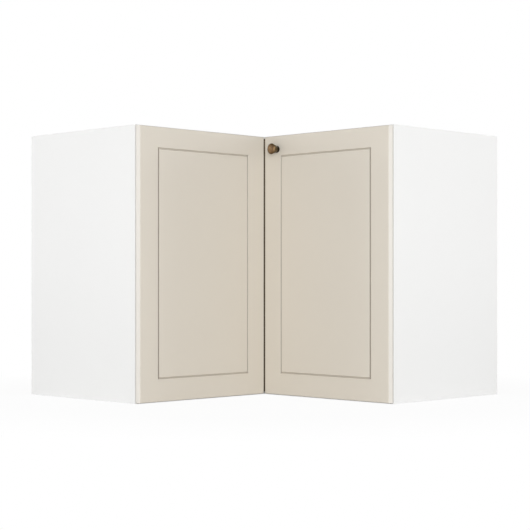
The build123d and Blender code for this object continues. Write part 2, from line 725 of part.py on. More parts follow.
def all_nodes():
    cam_sets = [one for cams, dowels in joints.values() for one in cams]
    dowel_sets = [one for cams, dowels in joints.values() for one in dowels]
    door = plain_door()
    knob_hole = rod((knob_x, door_back + 1, knob_z), (0, -1, 0), knob_screw_r + fit, door_thickness + 2)
    right_door = less(door, hinge_cuts_in_door() + leaf_holes() + [knob_hole])
    left_door = across(less(door, leaf_holes()))
    right_rail = less(front_rail(-front - front_rail_width), rail_screw_holes())
    left_rail = less(across(front_rail(-front)), rail_screw_holes())
    screw_frames = [Plane(origin=(x, y, rail_low - plate_thickness), z_dir=(0, 0, -1))
                    for x, y in plate_screws_at]
    return {
        "end_panel_right": [end_panel(True)],
        "end_panel_left": [across(end_panel(False))],
        "bottom_board": [bottom_board()],
        "front_rail_right": [right_rail],
        "front_rail_left": [left_rail],
        "rear_rail_right": [rear_rail()],
        "rear_rail_left": [across(rear_rail())],
        "rear_post": [rear_post()],
        "back_panel_right": [back_panel()],
        "back_panel_left": [across(back_panel())],
        "shelf": [shelf()],
        "shelf_pins": shelf_pins(),
        "cams": both_arms([one[0] for one in cam_sets]),
        "cam_bolts": both_arms([one[1] for one in cam_sets]),
        "dowels": both_arms([one[0] for one in dowel_sets]) + [one[0] for one in post_dowels()],
        "corner_plate": [corner_plate()],
        "corner_plate_screws": [pan_screw(frame, 3.8, 1.8, plate_screw_r - fit, 13)
                                for frame in screw_frames],
        "hinge_mounting_plates": at_hinges(mounting_plate()),
        "hinge_plate_screws": (at_hinges(plate_screw(-hole_pitch / 2))
                               + at_hinges(plate_screw(hole_pitch / 2))),
        "hinge_arms": at_hinges(arm()),
        "hinge_arm_screws": at_hinges(arm_screw()),
        "hinge_arm_rivets": [r for pin in (arm_pin, arm_guide_pin) for s in (-1, 1)
                             for r in at_hinges(arm_rivet(pin, s))],
        "hinge_cranks": [c for plate in cranks() for c in at_hinges(plate)],
        "hinge_crank_pins": (at_hinges(hinge_pin(elbow_pin, crank_out))
                             + at_hinges(hinge_pin(elbow_lever_pin, crank_out))),
        "hinge_guide_cranks": [c for plate in guide_cranks() for c in at_hinges(plate)],
        "hinge_guide_pins": at_hinges(hinge_pin(elbow_guide_pin, crank_out)),
        "hinge_carriers": at_hinges(carrier()),
        "hinge_levers": at_hinges(lever()),
        "hinge_cups": at_hinges(cup()),
        "hinge_cup_pins": at_hinges(hinge_pin(cup_pin, 12)) + at_hinges(hinge_pin(cup_lever_pin, 12)),
        "hinge_cup_screws": at_hinges(cup_screw(-cup_screw_w)) + at_hinges(cup_screw(cup_screw_w)),
        "door_right": [right_door],
        "knob": [knob()],
        "knob_screw": [knob_screw()],
        "fold_leaf_right": right_leaf(),
        "fold_pin": fold_pin(),
        "fold_screws_right": right_leaf_screws(),
        "bumpers_right": right_bumpers(),
        "door_left": [left_door],
        "fold_leaf_left": left_leaf(),
        "fold_screws_left": left_leaf_screws(),
        "bumpers_left": left_bumpers(),
    }


os.makedirs("parts", exist_ok=True)
for node, shapes in all_nodes().items():
    write(node, shapes)
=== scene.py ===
"""Looks of the corner base cabinet: finishes for every board and fitting, modelled doors, knob and screws.

Metres, +Z up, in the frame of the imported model. The room's corner is at -X +Y and the camera looks into the
inner corner along the diagonal, as the photograph does.
"""

import bpy
from math import cos, pi, radians, sin, sqrt
from mathutils import Matrix, Vector


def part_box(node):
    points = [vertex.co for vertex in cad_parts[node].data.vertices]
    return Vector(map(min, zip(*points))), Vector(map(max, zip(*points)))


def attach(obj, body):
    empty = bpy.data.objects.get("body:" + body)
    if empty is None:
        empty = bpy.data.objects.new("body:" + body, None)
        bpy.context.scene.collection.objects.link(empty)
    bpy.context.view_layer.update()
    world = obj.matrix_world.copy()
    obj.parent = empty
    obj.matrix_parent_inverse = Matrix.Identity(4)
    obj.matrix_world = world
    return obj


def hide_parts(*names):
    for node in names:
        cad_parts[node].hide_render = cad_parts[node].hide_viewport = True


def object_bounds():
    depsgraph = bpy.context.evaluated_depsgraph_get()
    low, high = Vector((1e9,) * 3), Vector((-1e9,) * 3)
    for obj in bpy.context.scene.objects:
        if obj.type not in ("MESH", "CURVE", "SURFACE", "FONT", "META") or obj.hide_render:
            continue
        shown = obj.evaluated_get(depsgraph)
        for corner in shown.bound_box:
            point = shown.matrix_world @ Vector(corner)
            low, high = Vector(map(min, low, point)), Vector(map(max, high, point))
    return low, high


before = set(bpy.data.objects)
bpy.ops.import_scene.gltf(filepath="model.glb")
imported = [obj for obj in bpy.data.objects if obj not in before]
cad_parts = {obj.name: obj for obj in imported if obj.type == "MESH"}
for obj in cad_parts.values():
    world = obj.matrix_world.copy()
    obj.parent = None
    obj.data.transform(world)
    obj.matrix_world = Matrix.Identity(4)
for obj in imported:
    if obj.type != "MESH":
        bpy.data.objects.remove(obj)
cad_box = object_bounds()
MM = 0.001

# Camera, fitted to the photograph's edges

PHOTO_SIDE = 530
FOCAL_PIXELS = 1430
HORIZON_ROW = 278.9
CENTRE_COLUMN = 264.4
CAMERA_HEIGHT = 0.315
CAMERA_FROM_CORNER = 4.544
SENSOR = 36.0

# Doors and hinge cups: places come from the frame, and most sizes are the CAD model's own. The lips and
# the floor's rounding of the routed line, and the last two sizes of a cup's ears, are this script's.

RIGHT_LOW, RIGHT_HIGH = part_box("door_right")
STILE_WIDTH = 59 * MM
TOP_RAIL_WIDTH = 52 * MM
LOW_RAIL_WIDTH = 57 * MM
DOOR_EDGE_RADIUS = 2.5 * MM
DOOR_BACK_EDGE = 0.6 * MM
GROOVE_WIDTH = 5.2 * MM
GROOVE_FLOOR = 1.2 * MM
GROOVE_DEPTH = 3.4 * MM
GROOVE_LIP = 0.7 * MM
GROOVE_FLOOR_RADIUS = 0.4 * MM
CUP_FROM_EDGE = 22 * MM
CUP_RADIUS = 17.5 * MM
CUP_FLANGE = 1.4 * MM
CUP_SLOT_HALF = 10.4 * MM
CUP_BORE_DEPTH = 11.8 * MM
CUP_FLANGE_THICKNESS = 1.2 * MM
CUP_EAR_WIDTH = 12 * MM
CUP_EAR_REACH = 6 * MM
CUP_EAR_ROUNDING = 0.92      # of half an ear's width
CUP_EAR_EDGE = 0.25 * MM
CUT_OVERLAP = 0.1 * MM

# Softened edges of the CAD pieces

BOARD_EDGE_RADIUS = 0.35 * MM
SHORTEST_BOARD_EDGE = 30 * MM
STEEL_EDGE_RADIUS = 0.25 * MM
SHORTEST_STEEL_EDGE = 0.2 * MM
SAME_POINT = 0.001 * MM
SAME_PLANE_ANGLE = 0.5
SHARP_ANGLE = 30
SMOOTH_ANGLE = 35
SCREW_SMOOTH_ANGLE = 40
KNOB_SMOOTH_ANGLE = 50
CUTTER_SEGMENTS = 96
NEAR = 0.01 * MM             # how close a corner lies to the plane that it is picked by

X, Y, Z = Vector((1, 0, 0)), Vector((0, 1, 0)), Vector((0, 0, 1))
DIAGONAL_MIRROR = Matrix(((0, -1, 0, 0), (-1, 0, 0, 0), (0, 0, 1, 0), (0, 0, 0, 1)))


# Modelling helpers

def only(piece):
    """Makes this piece the one thing that operators act on."""
    for other in bpy.context.selected_objects:
        other.select_set(False)
    piece.select_set(True)
    bpy.context.view_layer.objects.active = piece


def select_in(piece, kind, wanted):
    """Enters edit mode with only the faces or edges selected for which wanted is true."""
    only(piece)
    bpy.ops.object.mode_set(mode="EDIT")
    bpy.ops.mesh.select_mode(type=kind)
    bpy.ops.mesh.select_all(action="DESELECT")
    bpy.ops.object.mode_set(mode="OBJECT")
    parts = piece.data.polygons if kind == "FACE" else piece.data.edges
    for part in parts:
        part.select = wanted(part)
    bpy.ops.object.mode_set(mode="EDIT")


def leave_edit():
    bpy.ops.object.mode_set(mode="OBJECT")


def edge_ends(piece, edge):
    """The places of an edge's two ends."""
    return [piece.data.vertices[i].co for i in edge.vertices]


def placed(piece, matrix):
    """Moves the mesh itself, so that the piece's object stays at the origin."""
    piece.data.transform(matrix)
    if matrix.determinant() < 0:
        piece.data.flip_normals()
    return piece


def settled(piece):
    """Puts the object's own place into its mesh."""
    only(piece)
    bpy.ops.object.transform_apply(location=True, rotation=True, scale=True)
    return piece


def named(piece, name):
    piece.name = name
    piece.data.name = name
    return piece


def smooth(piece, angle=SMOOTH_ANGLE):
    """Shades soft edges smooth and keeps the broad faces beside them flat."""
    only(piece)
    bpy.ops.object.shade_smooth_by_angle(angle=radians(angle))
    weighted = piece.modifiers.new("flat faces", "WEIGHTED_NORMAL")
    weighted.keep_sharp = True
    bpy.ops.object.modifier_apply(modifier=weighted.name)
    return piece


def joined(pieces, name):
    """Makes one piece of several."""
    only(pieces[0])
    for other in pieces[1:]:
        other.select_set(True)
    if len(pieces) > 1:
        bpy.ops.object.join()
    return named(bpy.context.view_layer.objects.active, name)


def twin(piece, matrix):
    """A copy of a modelled piece, with its own mesh, at another place."""
    other = piece.copy()
    other.data = piece.data.copy()
    bpy.context.scene.collection.objects.link(other)
    return placed(other, matrix)


def remove(piece):
    """Takes a piece and its mesh out of the scene."""
    mesh = piece.data
    bpy.data.objects.remove(piece)
    bpy.data.meshes.remove(mesh)


def cut_away(piece, cutters):
    """Takes the cutters' space out of the piece, and removes the cutters."""
    cutter = joined(cutters, "cutter")
    only(piece)
    cut = piece.modifiers.new("cut", "BOOLEAN")
    cut.operation = "DIFFERENCE"
    cut.solver = "EXACT"
    cut.object = cutter
    bpy.ops.object.modifier_apply(modifier=cut.name)
    remove(cutter)
    return piece


def cube(low, high, name):
    """A box between two corners."""
    middle = (low + high) / 2
    bpy.ops.mesh.primitive_cube_add(size=1, location=middle)
    piece = bpy.context.active_object
    piece.scale = high - low
    return named(settled(piece), name)


def turned(profile, segments, name):
    """A turned solid about Z: a disc at the first radius and height, drawn out ring by ring."""
    radius, height = profile[0]
    bpy.ops.mesh.primitive_circle_add(vertices=segments, radius=radius, fill_type="NGON",
                                      location=(0, 0, height))
    piece = bpy.context.active_object
    settled(piece)
    select_in(piece, "FACE", lambda face: True)
    for next_radius, next_height in profile[1:]:
        bpy.ops.mesh.extrude_region_move(TRANSFORM_OT_translate={"value": (0, 0, next_height - height)})
        scale = next_radius / radius
        bpy.ops.transform.resize(value=(scale, scale, 1), center_override=(0, 0, next_height))
        radius, height = next_radius, next_height
    bpy.ops.mesh.select_all(action="SELECT")
    bpy.ops.mesh.normals_make_consistent(inside=False)
    leave_edit()
    return named(piece, name)


def facing(point, direction):
    """A matrix that takes Z to the direction and the origin to the point."""
    turn = Z.rotation_difference(Vector(direction)).to_matrix().to_4x4()
    return Matrix.Translation(point) @ turn


def copy_of(node, name):
    """A copy of a CAD node's mesh, merged into whole faces, with edges ready to be softened."""
    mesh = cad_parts[node].data.copy()
    piece = bpy.data.objects.new(name, mesh)
    mesh.name = name
    bpy.context.scene.collection.objects.link(piece)
    mesh.materials.clear()
    select_in(piece, "FACE", lambda face: True)
    bpy.ops.mesh.remove_doubles(threshold=SAME_POINT)
    bpy.ops.mesh.dissolve_limited(angle_limit=radians(SAME_PLANE_ANGLE))
    leave_edit()
    return piece


def islands(node):
    """The lowest and highest corner of each separate solid in a CAD node, in a fixed order."""
    piece = copy_of(node, node + "_islands")
    only(piece)
    bpy.ops.mesh.separate(type="LOOSE")
    corners = []
    for part in list(bpy.context.selected_objects):
        points = [v.co for v in part.data.vertices]
        low = Vector([min(p[i] for p in points) for i in range(3)])
        high = Vector([max(p[i] for p in points) for i in range(3)])
        corners.append((low, high))
        remove(part)
    return sorted(corners, key=lambda c: [round(v, 4) for v in c[0]])


def softened(node, width, shortest):
    """A CAD node's shape with its sharp edges rounded, apart from those below the shortest length."""
    piece = copy_of(node, node + "_soft")
    only(piece)
    bpy.ops.object.mode_set(mode="EDIT")
    bpy.ops.mesh.select_mode(type="EDGE")
    bpy.ops.mesh.select_all(action="DESELECT")
    bpy.ops.mesh.edges_select_sharp(sharpness=radians(SHARP_ANGLE))
    leave_edit()
    for edge in piece.data.edges:
        start, end = edge_ends(piece, edge)
        if (end - start).length < shortest:
            edge.select = False
    sharp = {edge.index for edge in piece.data.edges if edge.select}
    select_in(piece, "EDGE", lambda edge: edge.index in sharp)
    bpy.ops.mesh.bevel(offset=width, segments=2, affect="EDGES", clamp_overlap=True)
    leave_edit()
    return smooth(piece)


def dress(piece, node, body, material):
    """Makes a new piece stand for a CAD node."""
    piece.data.materials.clear()
    piece.data.materials.append(material)
    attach(piece, body)
    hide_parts(node)
    return piece


# Shared effects

def new_group(name, inputs, outputs):
    """A node group with its sockets: label, kind and, for an input, its value when nothing is linked."""
    group = bpy.data.node_groups.new(name, "ShaderNodeTree")
    for label, kind, value in inputs:
        socket = group.interface.new_socket(name=label, in_out="INPUT", socket_type=kind)
        if value is not None:
            socket.default_value = value
    for label, kind in outputs:
        group.interface.new_socket(name=label, in_out="OUTPUT", socket_type=kind)
    return group, group.nodes.new("NodeGroupInput"), group.nodes.new("NodeGroupOutput")


def add(tree, kind, **settings):
    node = tree.nodes.new(kind)
    for key, value in settings.items():
        setattr(node, key, value)
    return node


def feed(tree, socket, value):
    """Sets a socket to a number or a colour, or links it to another node's output."""
    if isinstance(value, (int, float)):
        socket.default_value = value
    elif isinstance(value, tuple):
        socket.default_value = (*value, 1.0)
    else:
        tree.links.new(value, socket)


def noise(tree, vector, scale, detail=3.0, rough=0.55):
    node = add(tree, "ShaderNodeTexNoise")
    feed(tree, node.inputs["Scale"], scale)
    node.inputs["Detail"].default_value = detail
    node.inputs["Roughness"].default_value = rough
    tree.links.new(vector, node.inputs["Vector"])
    return node.outputs["Fac"]


def remap(tree, value, low, high, to_low=0.0, to_high=1.0):
    node = add(tree, "ShaderNodeMapRange")
    for label, number in (("From Min", low), ("From Max", high), ("To Min", to_low), ("To Max", to_high)):
        node.inputs[label].default_value = number
    tree.links.new(value, node.inputs["Value"])
    return node.outputs["Result"]


def maths(tree, operation, *values):
    node = add(tree, "ShaderNodeMath", operation=operation)
    for socket, value in zip(node.inputs, values):
        feed(tree, socket, value)
    return node.outputs[0]


def mixed(tree, factor, first, second, blend="MIX"):
    """A colour between two, or their product."""
    node = add(tree, "ShaderNodeMix", data_type="RGBA", blend_type=blend)
    for label, value in (("Factor", factor), ("A", first), ("B", second)):
        feed(tree, node.inputs[label], value)
    return node.outputs["Result"]


def bumped(tree, height, strength, distance):
    node = add(tree, "ShaderNodeBump")
    node.inputs["Strength"].default_value = strength
    node.inputs["Distance"].default_value = distance
    tree.links.new(height, node.inputs["Height"])
    return node.outputs["Normal"]


def linear(colour):
    """Linear colour from a colour picked in display values of 0 to 255."""
    shares = [c / 255 for c in colour]
    return tuple(c / 12.92 if c <= 0.04045 else ((c + 0.055) / 1.055) ** 2.4 for c in shares)


def colour_ramp(tree, value, stops):
    """Colours along a value from 0 to 1. Each stop is a place and a display colour."""
    node = add(tree, "ShaderNodeValToRGB")
    elements = node.color_ramp.elements
    elements[0].color = (*linear(stops[0][1]), 1)
    elements[1].color = (*linear(stops[-1][1]), 1)
    for place, colour in stops[1:-1]:
        stop = elements.new(place)
        stop.color = (*linear(colour), 1)
    tree.links.new(value, node.inputs["Fac"])
    return node.outputs["Color"]


MOTTLE_BROAD_SHARE = 0.7
MOTTLE_ROUGHNESS_SWING = 0.12


def build_mottle():
    """A slow, faint variation of a colour and of its roughness, as a sprayed or pressed face has."""
    group, given, result = new_group(
        "slow mottle",
        [("Vector", "NodeSocketVector", None), ("Colour", "NodeSocketColor", None),
         ("Amount", "NodeSocketFloat", 0.03), ("Roughness", "NodeSocketFloat", 0.4)],
        [("Colour", "NodeSocketColor"), ("Roughness", "NodeSocketFloat")])
    broad = noise(group, given.outputs["Vector"], scale=3.0, detail=2.0)
    fine = noise(group, given.outputs["Vector"], scale=45.0)
    broad_part = maths(group, "MULTIPLY", broad, MOTTLE_BROAD_SHARE)
    fine_part = maths(group, "MULTIPLY", fine, 1 - MOTTLE_BROAD_SHARE)
    centred = maths(group, "SUBTRACT", maths(group, "ADD", broad_part, fine_part), 0.5)
    gain = maths(group, "MULTIPLY_ADD", centred, given.outputs["Amount"], 1.0)
    shade = add(group, "ShaderNodeCombineColor")
    for socket in shade.inputs[:3]:
        group.links.new(gain, socket)
    colour = mixed(group, 1.0, given.outputs["Colour"], shade.outputs["Color"], "MULTIPLY")
    roughness = maths(group, "MULTIPLY_ADD", centred, MOTTLE_ROUGHNESS_SWING, given.outputs["Roughness"])
    group.links.new(colour, result.inputs["Colour"])
    group.links.new(roughness, result.inputs["Roughness"])
    return group


CHIPS = ((0.0, (156, 126, 88)), (0.5, (202, 172, 130)), (1.0, (224, 200, 162)))
CHIPS_PER_METRE = 420.0


def build_chip_core():
    """The pressed chips that show where a faced board is cut or drilled."""
    group, given, result = new_group(
        "chip core", [("Vector", "NodeSocketVector", None)], [("Colour", "NodeSocketColor")])
    cells = add(group, "ShaderNodeTexVoronoi")
    cells.inputs["Scale"].default_value = CHIPS_PER_METRE
    group.links.new(given.outputs["Vector"], cells.inputs["Vector"])
    tone = add(group, "ShaderNodeSeparateColor")
    group.links.new(cells.outputs["Color"], tone.inputs["Color"])
    group.links.new(colour_ramp(group, tone.outputs["Red"], CHIPS), result.inputs["Colour"])
    return group


def build_grain():
    """Fine even grain: the pearled face of a foil, or the skin of a casting."""
    group, given, result = new_group(
        "fine grain", [("Vector", "NodeSocketVector", None), ("Scale", "NodeSocketFloat", 900.0)],
        [("Height", "NodeSocketFloat")])
    height = noise(group, given.outputs["Vector"], given.outputs["Scale"], detail=2.0, rough=0.5)
    group.links.new(height, result.inputs["Height"])
    return group


MOTTLE = build_mottle()
CHIP_CORE = build_chip_core()
GRAIN = build_grain()


def place_group(tree, group, **values):
    node = add(tree, "ShaderNodeGroup", node_tree=group)
    for label, value in values.items():
        feed(tree, node.inputs[label], value)
    return node


def mottled(tree, position, colour, amount, roughness):
    """The colour and the roughness of an even finish."""
    node = place_group(tree, MOTTLE, Vector=position, Colour=colour, Amount=amount, Roughness=roughness)
    return node.outputs["Colour"], node.outputs["Roughness"]


def grained(tree, position, scale, strength, depth):
    """The normal of a finely grained surface."""
    grain = place_group(tree, GRAIN, Vector=position, Scale=scale)
    return bumped(tree, grain.outputs["Height"], strength, depth)


def set_finish(tree, shader, colour, roughness, normal=None):
    """Gives a shader its colour, roughness and normal."""
    tree.links.new(colour, shader.inputs["Base Color"])
    tree.links.new(roughness, shader.inputs["Roughness"])
    if normal is not None:
        tree.links.new(normal, shader.inputs["Normal"])


def new_material(name):
    """A material whose pattern follows the piece's own coordinates, in metres."""
    material = bpy.data.materials.new(name)
    material.use_nodes = True
    tree = material.node_tree
    shader = tree.nodes["Principled BSDF"]
    position = add(tree, "ShaderNodeTexCoord").outputs["Object"]
    return material, tree, shader, position


def axis_parts(tree, vector):
    """The X, Y and Z of a place."""
    node = add(tree, "ShaderNodeSeparateXYZ")
    tree.links.new(vector, node.inputs["Vector"])
    return node.outputs


# Finishes

WHITE_FACE = linear((237, 237, 236))
# Greyer edged fronts: partly the edging's own tone, partly painted shade for the narrow gap behind the doors
EDGING_AND_GAP_SHADE = linear((225, 224, 221))
LACQUERED_FACE = linear((234, 234, 232))
BARE_HARDBOARD = linear((165, 126, 84))
BARE_BEECH = linear((214, 180, 136))
SOFT_PLASTIC = linear((236, 236, 232))
DOOR_PAINT = linear((216, 209, 197))
# Painted highlight: a paler tone for the doors' outer edges, standing in for the side light that falls on
# them
PAINTED_EDGE_LIGHT = linear((231, 226, 218))
# Painted shade in the routed line: a dark tone mixed into the door paint
GROOVE_PAINTED_SHADE = linear((118, 106, 92))
LEVEL_SHADE = 0.28               # share of painted shade in a routed line that lies level
UPRIGHT_SHADES = (0.50, 0.80)    # and in an upright one, beside a door's inner and outer edge
BOARD_SKIN = 0.35 * MM
BOARD_EDGING = 0.6 * MM
GROOVE_SHADE_FROM, GROOVE_SHADE_FULLY = 0.1 * MM, 0.6 * GROOVE_DEPTH         # depths in a routed line
EDGE_LIGHT_FROM, EDGE_LIGHT_FULLY = 0.6 * MM, 0.05 * MM          # in from a door's outer edge
CUT_ROUGHNESS = 0.85
FRONT_ROUGHNESS, BACK_ROUGHNESS = 0.48, 0.73
# Colours up the knob from the door: the near black at the stem is partly dark patina, partly painted shade
# under the head
PATINA_AND_STEM_SHADE = ((0.0, (40, 29, 10)), (0.22, (38, 27, 9)), (0.36, (112, 98, 72)), (0.80, (112, 96, 68)),
          (0.92, (120, 97, 70)), (1.0, (176, 147, 117)))
RUBBED_FROM_TO = (0.78, 1.22)    # of two noises' sum
RUBBED_LESS, RUBBED_MORE = (0.66, 0.62, 0.56), (1.22, 1.2, 1.16)
RUBBED_ROUGHNESSES = (0.52, 0.38)
METAL_GRAIN_STRENGTH = 0.25


def between(tree, value, low, high):
    """1 where the value lies between low and high."""
    above = maths(tree, "GREATER_THAN", value, low)
    below = maths(tree, "LESS_THAN", value, high)
    return maths(tree, "MULTIPLY", above, below)


def front_band(tree, parts, front_line):
    """1 on the edged front of the L, which runs along both arms."""
    past_x = maths(tree, "GREATER_THAN", parts[0], -front_line - BOARD_EDGING)
    past_y = maths(tree, "LESS_THAN", parts[1], front_line + BOARD_EDGING)
    return maths(tree, "MULTIPLY", past_x, past_y)


def melamine(tree, position):
    """The white face of a coated board."""
    return mottled(tree, position, WHITE_FACE, amount=0.022, roughness=0.42)


def pearl(tree, position):
    """The fine texture of a coated board's face."""
    return grained(tree, position, scale=700.0, strength=0.10, depth=0.2 * MM)


def faced_board(name, axis, low, high, front_line):
    """White melamine with a faint pearl, chips where the board is cut or drilled, and a greyer edged front,
    partly the edging's own tone and partly painted shade that darkens the gap behind the doors.

    The board lies between low and high on its thin axis.
    """
    material, tree, shader, position = new_material(name)
    parts = axis_parts(tree, position)
    face, roughness = melamine(tree, position)
    band = front_band(tree, parts, front_line)
    # The edged front is greyer: partly the edging's tone, partly painted shade of the gap behind the doors
    colour = mixed(tree, band, face, EDGING_AND_GAP_SHADE)
    core = place_group(tree, CHIP_CORE, Vector=position)
    cut = between(tree, parts[axis], low + BOARD_SKIN, high - BOARD_SKIN)
    raw = maths(tree, "MULTIPLY", cut, maths(tree, "SUBTRACT", 1.0, band))
    colour = mixed(tree, raw, colour, core.outputs["Colour"])
    roughness = maths(tree, "MAXIMUM", roughness, maths(tree, "MULTIPLY", raw, CUT_ROUGHNESS))
    set_finish(tree, shader, colour, roughness, pearl(tree, position))
    return material


def post_face():
    """The rear post: faced all round, with raw ends."""
    material, tree, shader, position = new_material("faced post")
    low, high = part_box("rear_post")
    face, roughness = melamine(tree, position)
    core = place_group(tree, CHIP_CORE, Vector=position)
    height = axis_parts(tree, position)[2]
    within = between(tree, height, low.z + BOARD_SKIN, high.z - BOARD_SKIN)
    colour = mixed(tree, within, core.outputs["Colour"], face)
    set_finish(tree, shader, colour, roughness, pearl(tree, position))
    return material


def door_paint(name, along, along_sign, out, out_sign):
    """Warm greige paint, silk matt, with painted shade mixed into the routed line and a painted highlight
    that makes the outer edge paler.

    along and out are the axes along the door's width and out of its face, with the signs of the way to the
    door's outer edge and of the way out.
    """
    material, tree, shader, position = new_material(name)
    paint, roughness = mottled(tree, position, DOOR_PAINT, amount=0.03, roughness=0.44)
    parts = axis_parts(tree, position)
    low, high = RIGHT_LOW, RIGHT_HIGH
    width_place = maths(tree, "MULTIPLY", parts[along], along_sign)
    depth = maths(tree, "MULTIPLY_ADD", parts[out], -out_sign, -low.y)
    inside = between(tree, width_place, low.x + STILE_WIDTH - GROOVE_LIP, high.x - STILE_WIDTH + GROOVE_LIP)
    inside = maths(tree, "MULTIPLY", inside, between(
        tree, parts[2], low.z + LOW_RAIL_WIDTH - GROOVE_LIP, high.z - TOP_RAIL_WIDTH + GROOVE_LIP))
    upright = maths(tree, "SUBTRACT", 1.0, between(
        tree, width_place, low.x + STILE_WIDTH + GROOVE_WIDTH, high.x - STILE_WIDTH - GROOVE_WIDTH))
    # Painted shade in the routed line: it grows with depth and is stronger in the upright runs and towards
    # the door's outer edge
    groove_shade_depth = remap(tree, depth, GROOVE_SHADE_FROM, GROOVE_SHADE_FULLY)
    groove_shade_depth = maths(tree, "MULTIPLY", groove_shade_depth, maths(tree, "LESS_THAN", depth, 2 * GROOVE_DEPTH))
    upright_shade = remap(tree, width_place, low.x, high.x, *UPRIGHT_SHADES)
    upright_extra = maths(tree, "SUBTRACT", upright_shade, LEVEL_SHADE)
    strength = maths(tree, "MULTIPLY_ADD", upright, upright_extra, LEVEL_SHADE)
    shade = maths(tree, "MULTIPLY", maths(tree, "MULTIPLY", inside, groove_shade_depth), strength)
    colour = mixed(tree, shade, paint, GROOVE_PAINTED_SHADE)
    # Painted highlight: the outer edge is made paler, as the side light would make it
    outer_edge_light = remap(tree, width_place, high.x - EDGE_LIGHT_FROM, high.x - EDGE_LIGHT_FULLY)
    colour = mixed(tree, outer_edge_light, colour, PAINTED_EDGE_LIGHT)
    orange_peel = grained(tree, position, scale=420.0, strength=0.08, depth=0.3 * MM)
    set_finish(tree, shader, colour, roughness, orange_peel)
    return material


def metal(name, colour, roughness, grain_scale, grain_depth, variation=0.12):
    """Bare or plated metal, in a display colour, with a fine grain whose depth is in millimetres."""
    material, tree, shader, position = new_material(name)
    normal = grained(tree, position, grain_scale, METAL_GRAIN_STRENGTH, grain_depth * MM)
    set_finish(tree, shader, *mottled(tree, position, linear(colour), variation, roughness), normal)
    shader.inputs["Metallic"].default_value = 1.0
    return material


def beech():
    material, tree, shader, position = new_material("bare beech")
    set_finish(tree, shader, *mottled(tree, position, BARE_BEECH, amount=0.3, roughness=0.7))
    return material


def thin_board(name, wall_axis, wall_limit, wall_above):
    """Hardboard with a white lacquered face towards the room and a brown one towards the wall."""
    material, tree, shader, position = new_material(name)
    parts = axis_parts(tree, position)
    back = maths(tree, "GREATER_THAN" if wall_above else "LESS_THAN", parts[wall_axis], wall_limit)
    white, _ = mottled(tree, position, LACQUERED_FACE, amount=0.02, roughness=FRONT_ROUGHNESS)
    brown, _ = mottled(tree, position, BARE_HARDBOARD, amount=0.35, roughness=BACK_ROUGHNESS)
    roughness = remap(tree, back, 0.0, 1.0, FRONT_ROUGHNESS, BACK_ROUGHNESS)
    fibre = grained(tree, position, scale=1500.0, strength=0.2, depth=0.2 * MM)
    set_finish(tree, shader, mixed(tree, back, white, brown), roughness, fibre)
    return material


def clear_pad():
    material, tree, shader, position = new_material("clear pad")
    set_finish(tree, shader, *mottled(tree, position, SOFT_PLASTIC, amount=0.05, roughness=0.25))
    shader.inputs["Transmission Weight"].default_value = 0.6
    shader.inputs["IOR"].default_value = 1.45
    return material


def antique_bronze():
    """Patina, olive on the flare and rubbed to a warm brown on the face; nearly black at the stem, partly
    dark patina and partly painted shade under the head.
    """
    material, tree, shader, position = new_material("antique bronze")
    low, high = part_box("knob")
    height = maths(tree, "SUBTRACT", high.y, axis_parts(tree, position)[1])
    # Near black at the stem: partly dark patina, partly painted shade under the knob's head
    patina_and_shade = colour_ramp(tree, remap(tree, height, 0.0, high.y - low.y), PATINA_AND_STEM_SHADE)
    small = noise(tree, position, scale=260.0, detail=4.0, rough=0.6)
    broad = noise(tree, position, scale=90.0)
    rubbed = remap(tree, maths(tree, "ADD", small, broad), *RUBBED_FROM_TO)
    colour = mixed(tree, 1.0, patina_and_shade, mixed(tree, rubbed, RUBBED_LESS, RUBBED_MORE), "MULTIPLY")
    roughness = remap(tree, rubbed, 0.0, 1.0, *RUBBED_ROUGHNESSES)
    cast_skin = grained(tree, position, 1800.0, METAL_GRAIN_STRENGTH, 0.2 * MM)
    set_finish(tree, shader, colour, roughness, cast_skin)
    shader.inputs["Metallic"].default_value = 1.0
    return material


PAINT_RIGHT = door_paint("door paint right", 0, 1, 1, -1)
PAINT_LEFT = door_paint("door paint left", 1, -1, 0, 1)
POST_FACE = post_face()
# Roughness, then the grain's scale and depth, then how much the colour varies where it isn't the usual 0.12
STEEL = metal("nickelled steel", (196, 194, 190), 0.27, 1200.0, 0.2)
SCREW = metal("zinc plated steel", (188, 190, 194), 0.33, 2500.0, 0.1)
ZINC = metal("die-cast zinc", (168, 169, 170), 0.42, 1600.0, 0.3)
GALVANISED = metal("galvanised steel", (180, 184, 188), 0.40, 300.0, 0.3, 0.3)
BRONZED_STEEL = metal("bronzed steel", (74, 64, 54), 0.45, 1400.0, 0.2, 0.25)
BEECH = beech()
PAD = clear_pad()
BRONZE = antique_bronze()


# Doors

